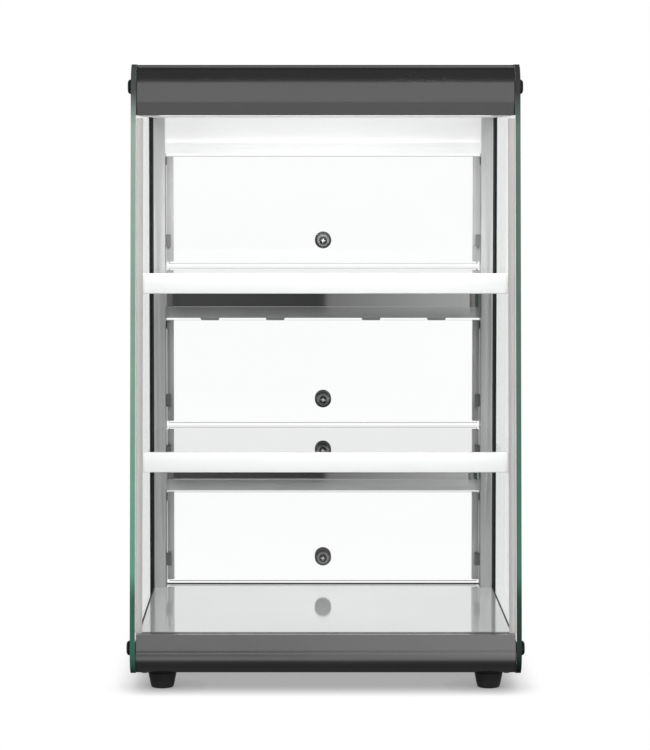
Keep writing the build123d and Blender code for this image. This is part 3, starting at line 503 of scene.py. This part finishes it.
# %% [markdown]
# The rails above the lower doors are polished, but their hem is brushed, and stands a few millimetres
# nearer. A brushed face scatters white light, so one finish turns from mirror to brushed at the step's
# depth. Down the hem it also grows whiter towards the bottom, which is painted light. Two materials could
# split the faces instead, but the finish only needs the rail's own box to find its step.

# %% Rail finish
HEM_DEPTH = 0.002
HEM_HEIGHT = 0.011


def rail_steel(node):
    material = mirror_finish.copy()
    material.name = node + "_steel"
    tree = material.node_tree
    shader = tree.nodes["Principled BSDF"]
    place = object_position(tree)
    split = add(tree, "ShaderNodeSeparateXYZ")
    join(tree, place, "Vector", split, "Vector")
    low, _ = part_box(node)
    step = low.y + HEM_DEPTH
    hem = ramp(tree, split, "Y", step, step + HEM_DEPTH / 4, 1.0, 0.0)
    # Painted light: less metal and so a whiter hem towards its bottom edge.
    whiter_hem_painted_light = ramp(tree, split, "Z", low.z, low.z + HEM_HEIGHT, 0.0, 0.5)
    metal = add(tree, "ShaderNodeMix", {"A": 1.0}, data_type="FLOAT")
    join(tree, hem, "Result", metal, "Factor")
    join(tree, whiter_hem_painted_light, "Result", metal, "B")
    join(tree, metal, "Result", shader, "Metallic")
    bright = add(tree, "ShaderNodeMix", {"B": grey(0.95)}, data_type="RGBA")
    join(tree, hem, "Result", bright, "Factor")
    tree.links.new(shader.inputs["Base Color"].links[0].from_socket, bright.inputs["A"])
    join(tree, bright, "Result", shader, "Base Color")
    return material


upper_rail_finish = rail_steel("rear_upper_rail")
lower_rail_finish = rail_steel("rear_lower_rail")
print("rail finishes", upper_rail_finish.name, lower_rail_finish.name)

# %% [markdown]
# The light's cover glows. Opal plastic scatters the chips' light so well that it looks evenly bright, so
# its own surface gives the light off, and a lamp just under it carries that light into the top tier.
# The seals beside the front pane are soft clear plastic, half see-through, so their finish is a mix.

# %% Light cover and seals
COVER_GLOW = 3.0
STRIP_POWER = 1.3


def opal_cover():
    material = grained("opal_cover", grey(0.9), grey(0.96), 0.0, 0.4, EVERY_WAY, grain=900, depth=0.02)
    shader = material.node_tree.nodes["Principled BSDF"]
    shader.inputs["Emission Color"].default_value = (1.0, 0.985, 0.96, 1)
    shader.inputs["Emission Strength"].default_value = COVER_GLOW
    return material


def clear_seal():
    """Soft grey plastic that lets about half the light through."""
    material = grained("clear_seal", grey(0.50, 0.02), grey(0.60, 0.02), 0.0, 0.35, ALONG_Z, depth=0.1)
    tree = material.node_tree
    shader = tree.nodes["Principled BSDF"]
    output = tree.nodes["Material Output"]
    clear = add(tree, "ShaderNodeBsdfTransparent", {"Color": (0.93, 0.91, 0.91, 1)})
    mix = add(tree, "ShaderNodeMixShader", {"Fac": 0.5})
    join(tree, clear, "BSDF", mix, 1)
    join(tree, shader, "BSDF", mix, 2)
    join(tree, mix, "Shader", output, "Surface")
    return material


opal_finish = opal_cover()
seal_finish = clear_seal()
cover_low, cover_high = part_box("led_diffuser")
cover_middle = (cover_low.y + cover_high.y) / 2
strip_light = soft_lamp(
    "case_light",
    (0, cover_middle, cover_low.z - 0.001),
    (0, cover_middle + 0.06, 0),
    (cover_high.x - cover_low.x, cover_high.y - cover_low.y),
    STRIP_POWER,
)
print("strip light", round(strip_light.data.size, 3), "m long")

# %% [markdown]
# Each solid now gets its finish. The table pairs a finish with the pieces that wear it, so a piece that
# is missing shows up at once in the printed count.

# %% Finishes on the frame's pieces
DOORS = ("top_door", "middle_door", "bottom_door")
wearers = [
    (left_glass_finish, ["side_glass_left"]),
    (right_glass_finish, ["side_glass_right"]),
    (pane_finish, ["front_glass"]),
    (acrylic_finish, [door + "_panel" for door in DOORS]),
    (seal_finish, ["front_seal_left", "front_seal_right"]),
    (profile_finish, ["top_front_profile"]),
    (sill_painted_light_finish, ["bottom_front_profile"]),
    (sheet_finish, ["top_cover", "base_pan"]),
    (deck_finish, ["base_deck"]),
    (mirror_finish, ["shelf_upper", "shelf_lower"]),
    (upper_rail_finish, ["rear_upper_rail"]),
    (lower_rail_finish, ["rear_lower_rail"]),
    (satin_finish, ["rear_stile_left", "rear_stile_right", "rail_tabs"]),
    (painted_glow_ceiling_finish, ["ceiling_panel", "rear_top_rail"]),
    (satin_finish, ["shelf_upper_brackets", "shelf_lower_brackets"] + [door + "_strips" for door in DOORS]),
    (plated_finish, ["foot_screws", "pan_screws", "bracket_screws", "catch_magnets"]),
    (plated_finish, [door + "_pins" for door in DOORS] + [door + "_screw" for door in DOORS]),
    (knob_finish, [door + "_knob" for door in DOORS]),
    (aluminium_finish, ["led_channel"]),
    (lip_finish, ["shelf_upper_lip", "shelf_lower_lip"]),
    (rubber_finish, ["base_gaskets", "top_gaskets", "rear_gasket_left", "rear_gasket_right"]),
    (rubber_finish, ["rubber_feet", "led_lead"]),
    (black_plastic_finish, ["cable_gland", "gland_nut", "switch_housing", "switch_rocker"]),
    (black_plastic_finish, ["hinge_bushes"]),
    (catch_finish, ["door_catches"]),
    (grey_plastic_finish, ["screw_bushes", "led_driver"]),
    (black_screw_finish, ["side_screws"]),
    (board_finish, ["led_strip"]),
    (opal_finish, ["led_diffuser"]),
]
finish_of = {}
for finish, names in wearers:
    for name in names:
        node = frame["nodes"][name]
        node.data.materials.clear()
        node.data.materials.append(finish)
        finish_of[name] = finish
print("dressed", len(finish_of), "of", len(frame["nodes"]), sorted(set(frame["nodes"]) - set(finish_of)))

# %% [markdown]
# Real folded sheet, ground glass and cut acrylic have no knife edges: a bend has a radius, and ground glass
# has a small flat along each edge. Both catch a thin line of light that tells the eye what the piece is.
# One helper copies a solid, joins its loose triangles and rounds its edges with a Bevel modifier. The
# copy takes the solid's place in the picture, and the solid stays behind it for the physics.

# %% Softened copies
slot_of = {part["node"]: part["material_slot"] for part in frame["record"]["subparts"]}


def only(piece):
    bpy.ops.object.select_all(action="DESELECT")
    piece.select_set(True)
    bpy.context.view_layer.objects.active = piece


def place_piece(piece, finish, body, slot_name, *nodes):
    """Give a finished piece its finish, hang it on the body it rides on, and hide the solids it replaces.
    """
    piece.data.materials.clear()
    piece.data.materials.append(finish)
    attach(piece, body)
    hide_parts(*nodes)


def soften(name, radius, body="case", steps=2):
    piece = bpy.data.objects.new(name + "_softened", frame["nodes"][name].data.copy())
    bpy.context.scene.collection.objects.link(piece)
    only(piece)
    bpy.ops.object.mode_set(mode="EDIT")
    bpy.ops.mesh.select_all(action="SELECT")
    bpy.ops.mesh.remove_doubles(threshold=0.00002)
    bpy.ops.mesh.dissolve_limited(angle_limit=math.radians(2))
    bpy.ops.object.mode_set(mode="OBJECT")
    bevel = piece.modifiers.new("edges", "BEVEL")
    bevel.width = radius
    bevel.segments = steps
    bevel.limit_method = "ANGLE"
    bevel.angle_limit = math.radians(50)
    bevel.harden_normals = False
    bpy.ops.object.modifier_apply(modifier=bevel.name)
    bpy.ops.object.shade_smooth_by_angle(angle=math.radians(35))
    place_piece(piece, finish_of[name], body, slot_of[name], name)
    return piece


softened = {
    "shelf_upper_lip": 0.0006,
    "shelf_lower_lip": 0.0006,
    "rear_stile_left": 0.0005,
    "rear_stile_right": 0.0005,
    "top_cover": 0.0008,
    "base_pan": 0.0006,
    "switch_housing": 0.0004,
    "led_driver": 0.0008,
}
for name, radius in softened.items():
    piece = soften(name, radius)
    print(piece.name, len(piece.data.polygons), "faces")
for door in DOORS:
    soften(door + "_panel", 0.0005, door, steps=1)
    soften(door + "_strips", 0.0005, door)
print("doors softened", len(DOORS))

# %% [markdown]
# The four feet are moulded rubber: a tapered cup with a rounded rim and a small step where it meets the
# base. It could be a cone with a bevel, but building it ring by ring, as a potter pulls a wall, gives the
# step and the hollow underneath in one go. The same helper turns the knobs and the gland later.

# %% Turned pieces
def open_bore(piece):
    """Take the two flat ends off and join their rims, which leaves a hole right through."""
    for face in piece.data.polygons:
        face.select = len(face.vertices) > 4
    bpy.ops.object.mode_set(mode="EDIT")
    bpy.ops.mesh.select_mode(type="FACE")
    bpy.ops.mesh.delete(type="ONLY_FACE")
    bpy.ops.mesh.select_mode(type="EDGE")
    bpy.ops.mesh.select_all(action="DESELECT")
    bpy.ops.mesh.select_non_manifold()
    bpy.ops.mesh.bridge_edge_loops()
    bpy.ops.mesh.select_mode(type="VERT")


def turned(name, rings, sides=48, bored=False):
    """Round piece along Z from (height, radius) rings, each pulled from the one before."""
    bpy.ops.object.select_all(action="DESELECT")
    height, radius = rings[0]
    bpy.ops.mesh.primitive_circle_add(vertices=sides, radius=radius, fill_type="NGON", location=(0, 0, 0))
    piece = bpy.context.object
    piece.name = name
    bpy.ops.object.mode_set(mode="EDIT")
    bpy.ops.mesh.select_all(action="SELECT")
    bpy.ops.transform.translate(value=(0, 0, height))
    for next_height, next_radius in rings[1:]:
        bpy.ops.mesh.extrude_region_move(TRANSFORM_OT_translate={"value": (0, 0, next_height - height)})
        share = next_radius / radius
        bpy.ops.transform.resize(value=(share, share, 1), center_override=(0, 0, next_height))
        height, radius = next_height, next_radius
    if bored:
        bpy.ops.object.mode_set(mode="OBJECT")
        open_bore(piece)
    bpy.ops.mesh.select_all(action="SELECT")
    bpy.ops.mesh.normals_make_consistent(inside=False)
    bpy.ops.object.mode_set(mode="OBJECT")
    bpy.ops.object.shade_smooth_by_angle(angle=math.radians(40))
    return piece


def settle(piece, place, turn=(0, 0, 0)):
    """Put a turned piece in its place and leave its object at the origin."""
    only(piece)
    piece.rotation_euler = turn
    piece.location = place
    bpy.ops.object.transform_apply(location=True, rotation=True, scale=True)
    return piece


def another(piece, name):
    """A copy with its own mesh."""
    twin = piece.copy()
    twin.data = piece.data.copy()
    twin.name = name
    bpy.context.scene.collection.objects.link(twin)
    return twin


# %% [markdown]
# The feet stand in pairs at the corners. The outer box of the four solids gives their places, and its
# height gives how tall a foot is. The rim under the foot is rounded, the wall has two shallow grooves
# from the mould, and the middle is hollow around the screw.

# %% Rubber feet
feet_low, feet_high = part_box("rubber_feet")
foot_top = feet_high.z
FOOT_TOP_RADIUS = 0.0146
FOOT_RIM_RADIUS = 0.0111
pocket = 0.0055
foot_rings = [
    (0.0069, pocket - 0.0002),
    (0.0068, pocket),
    (0.0006, pocket),
    (0.0, pocket + 0.0006),
    (0.0, FOOT_RIM_RADIUS - 0.0012),
    (0.0005, FOOT_RIM_RADIUS - 0.0003),
    (0.0013, FOOT_RIM_RADIUS),
    (0.0060, FOOT_RIM_RADIUS + 0.0012),
    (0.0064, FOOT_RIM_RADIUS + 0.0010),
    (0.0070, FOOT_RIM_RADIUS + 0.0013),
    (foot_top - 0.0022, FOOT_TOP_RADIUS - 0.0006),
    (foot_top - 0.0018, FOOT_TOP_RADIUS - 0.0009),
    (foot_top - 0.0014, FOOT_TOP_RADIUS - 0.0002),
    (foot_top - 0.0003, FOOT_TOP_RADIUS),
    (foot_top, FOOT_TOP_RADIUS - 0.0003),
]
foot = turned("rubber_foot", foot_rings)
foot_x = feet_high.x - FOOT_TOP_RADIUS
foot_front = feet_low.y + FOOT_TOP_RADIUS
foot_rear = feet_high.y - FOOT_TOP_RADIUS
for side, x in (("left", -foot_x), ("right", foot_x)):
    for end, y in (("front", foot_front), ("rear", foot_rear)):
        piece = settle(another(foot, f"rubber_foot_{end}_{side}"), (x, y, 0))
        place_piece(piece, rubber_finish, "case", "black_rubber", "rubber_feet")
bpy.data.objects.remove(foot)
print("feet", round(feet_high.z * 1000, 1), "mm tall")

# %% [markdown]
# Each door has a turned knob outside. A knob is pulled with two fingers, so it has a wide rounded head on a
# narrow neck, and a flange that spreads the load on the acrylic. Fine grooves on the head give grip: they
# are extra rings that dip and rise again by a quarter of a millimetre.

# %% Knobs
def knob_rings(length, radius, neck):
    rings = [(0.0, radius - 0.0004), (0.0003, radius), (0.0018, radius), (0.0024, radius - 0.0008)]
    rings += [(0.0030, neck + 0.0012), (0.0042, neck), (0.0078, neck), (0.0092, neck + 0.0016)]
    rings += [(0.0098, radius - 0.0012), (0.0106, radius - 0.0002)]
    groove = 0.0114
    while groove < length - 0.0030:
        rings += [(groove, radius), (groove + 0.0004, radius - 0.00025), (groove + 0.0008, radius)]
        groove += 0.0014
    rings += [(length - 0.0018, radius - 0.0003), (length - 0.0008, radius - 0.0011)]
    rings += [(length - 0.0002, radius - 0.0024), (length, radius - 0.0036), (length, 0.0030)]
    rings += [(length - 0.0005, 0.0026), (length - 0.0005, 0.0004)]
    return rings


KNOB_LENGTH = 0.020
KNOB_RADIUS = 0.009
KNOB_NECK = 0.0055
model_knob = turned("door_knob", knob_rings(KNOB_LENGTH, KNOB_RADIUS, KNOB_NECK), sides=64)
for door in DOORS:
    low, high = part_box(door + "_knob")
    place = ((low.x + high.x) / 2, low.y, (low.z + high.z) / 2)
    piece = settle(another(model_knob, door + "_turned_knob"), place, (math.radians(-90), 0, 0))
    place_piece(piece, knob_finish, door, "knob_metal", door + "_knob")
bpy.data.objects.remove(model_knob)
print("knobs", round((high.y - low.y) * 1000, 1), "mm long")

# %% [markdown]
# The screw that holds a knob shows through the clear door: a dull grey washer and a dark domed head with a
# cross recess. A real cross recess tapers to a point, so two wedge-shaped cutters are driven into the head
# with a Boolean modifier. Their bright finish stays on the cut faces as a painted highlight, a light cross
# in the dark head.

# %% Cross-head screws
def wedge(along, across_size, depth, top):
    """Cutter that narrows downwards, for one bar of the cross."""
    bpy.ops.object.select_all(action="DESELECT")
    bpy.ops.mesh.primitive_cube_add(size=1, location=(0, 0, top))
    bar = bpy.context.object
    bar.scale = (along, across_size, depth * 2)
    bpy.ops.object.transform_apply(location=True, rotation=False, scale=True)
    for vertex in bar.data.vertices:
        vertex.select = vertex.co.z < top
    for edge in bar.data.edges:
        edge.select = all(bar.data.vertices[index].select for index in edge.vertices)
    for face in bar.data.polygons:
        face.select = face.center.z < top - depth * 0.9
    bpy.ops.object.mode_set(mode="EDIT")
    bpy.ops.transform.resize(value=(0.45, 0.45, 1), center_override=(0, 0, top - depth))
    bpy.ops.object.mode_set(mode="OBJECT")
    bar.data.materials.append(recess_painted_highlight_finish)
    return bar


# Painted highlight: the recess faces are light grey, so the cross shows bright.
recess_painted_highlight_finish = grained("recess_painted_highlight", grey(0.85), grey(0.95), 0.35, 0.30, EVERY_WAY, depth=0.05)
head_finish = grained("screw_head", grey(0.10), grey(0.16), 0.85, 0.30, EVERY_WAY, depth=0.05)
washer_finish = grained("dull_washer", grey(0.40), grey(0.50), 0.75, 0.25, EVERY_WAY, depth=0.05)
WASHER = 0.0065
HEAD = 0.0043
CROSS_LENGTH = 0.0070
CROSS_WIDTH = 0.0018
CROSS_DEPTH = 0.0015
washer_rings = [(0.0, WASHER - 0.0002), (0.0001, WASHER), (0.0005, WASHER)]
washer_rings += [(0.0008, WASHER - 0.0004), (0.0008, 0.001)]
head_rings = [(0.0008, HEAD - 0.0002), (0.0012, HEAD), (0.0018, HEAD - 0.0002), (0.0026, HEAD - 0.0009)]
head_rings += [(0.0032, HEAD - 0.0020), (0.0034, HEAD - 0.0032), (0.0034, 0.0002)]
model_washer = turned("knob_washer", washer_rings)
model_head = turned("knob_screw_head", head_rings)
model_head.data.materials.append(head_finish)
for angle in (0, 90):
    bar = wedge(CROSS_LENGTH, CROSS_WIDTH, CROSS_DEPTH, 0.0036)
    only(bar)
    bar.rotation_euler = (0, 0, math.radians(angle))
    bpy.ops.object.transform_apply(location=False, rotation=True, scale=False)
    only(model_head)
    cut = model_head.modifiers.new("recess", "BOOLEAN")
    cut.operation = "DIFFERENCE"
    cut.object = bar
    cut.material_mode = "TRANSFER"
    bpy.ops.object.modifier_apply(modifier=cut.name)
    bpy.data.objects.remove(bar)
print("screw head", len(model_head.data.polygons), "faces,", len(model_head.data.materials), "finishes")
for door in DOORS:
    low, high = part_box(door + "_screw")
    panel_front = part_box(door + "_panel")[0].y
    place = ((low.x + high.x) / 2, panel_front, (low.z + high.z) / 2)
    washer = settle(another(model_washer, door + "_washer"), place, (math.radians(90), 0, 0))
    place_piece(washer, washer_finish, door, "plated_steel", door + "_screw")
    head = settle(another(model_head, door + "_screw_head"), place, (math.radians(90), math.radians(8), 0))
    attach(head, door)
    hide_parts(door + "_screw")
bpy.data.objects.remove(model_washer)
bpy.data.objects.remove(model_head)

# %% [markdown]
# At the back of the base a gland leads the supply cord in. Its cap is turned by hand, so it has ribs, and
# a soft ring inside grips the cord. The ribs are made by pulling every other side face of the cap outwards,
# and all three parts are bored, so a cord can pass.

# %% Cable gland
gland_low, gland_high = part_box("cable_gland")
wall_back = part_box("base_pan")[1].y
gland_x = (gland_low.x + gland_high.x) / 2
gland_z = (gland_low.z + gland_high.z) / 2
BORE = 0.0036
collar_rings = [(0.0, BORE), (0.0, 0.0088), (0.0004, 0.0090)]
collar_rings += [(0.0036, 0.0090), (0.0040, 0.0086), (0.0040, BORE)]
collar = turned("gland_collar", collar_rings, 6, True)
cap_rings = [(0.0039, BORE), (0.0039, 0.0070), (0.0044, 0.0072), (0.0085, 0.0071)]
cap_rings += [(0.0100, 0.0062), (0.0108, 0.0048), (0.0110, 0.0042), (0.0110, BORE)]
cap = turned("gland_cap", cap_rings, sides=36, bored=True)
only(cap)
for face in cap.data.polygons:
    level = 0.0046 < face.center.z < 0.0084 and face.center.to_2d().length > 0.0065
    turn = round((math.degrees(math.atan2(face.center.y, face.center.x)) % 360 - 5) / 10)
    face.select = level and turn % 2 == 0
for edge in cap.data.edges:
    edge.select = False
for vertex in cap.data.vertices:
    vertex.select = False
bpy.ops.object.mode_set(mode="EDIT")
bpy.ops.mesh.select_mode(type="FACE")
bpy.ops.mesh.inset(thickness=0.00012, depth=0.0004, use_individual=True)
bpy.ops.object.mode_set(mode="OBJECT")
seal_rings = [(0.0085, BORE), (0.0085, 0.0044), (0.0109, 0.0044), (0.0110, 0.0040), (0.0110, BORE)]
seal_ring = turned("gland_seal", seal_rings, 36, True)
gland_pieces = [(collar, black_plastic_finish), (cap, black_plastic_finish), (seal_ring, rubber_finish)]
for piece, finish in gland_pieces:
    settle(piece, (gland_x, wall_back, gland_z), (math.radians(-90), 0, 0))
    place_piece(piece, finish, "case", "black_plastic", "cable_gland")
print("gland at", round(gland_x * 1000), "mm from the middle")
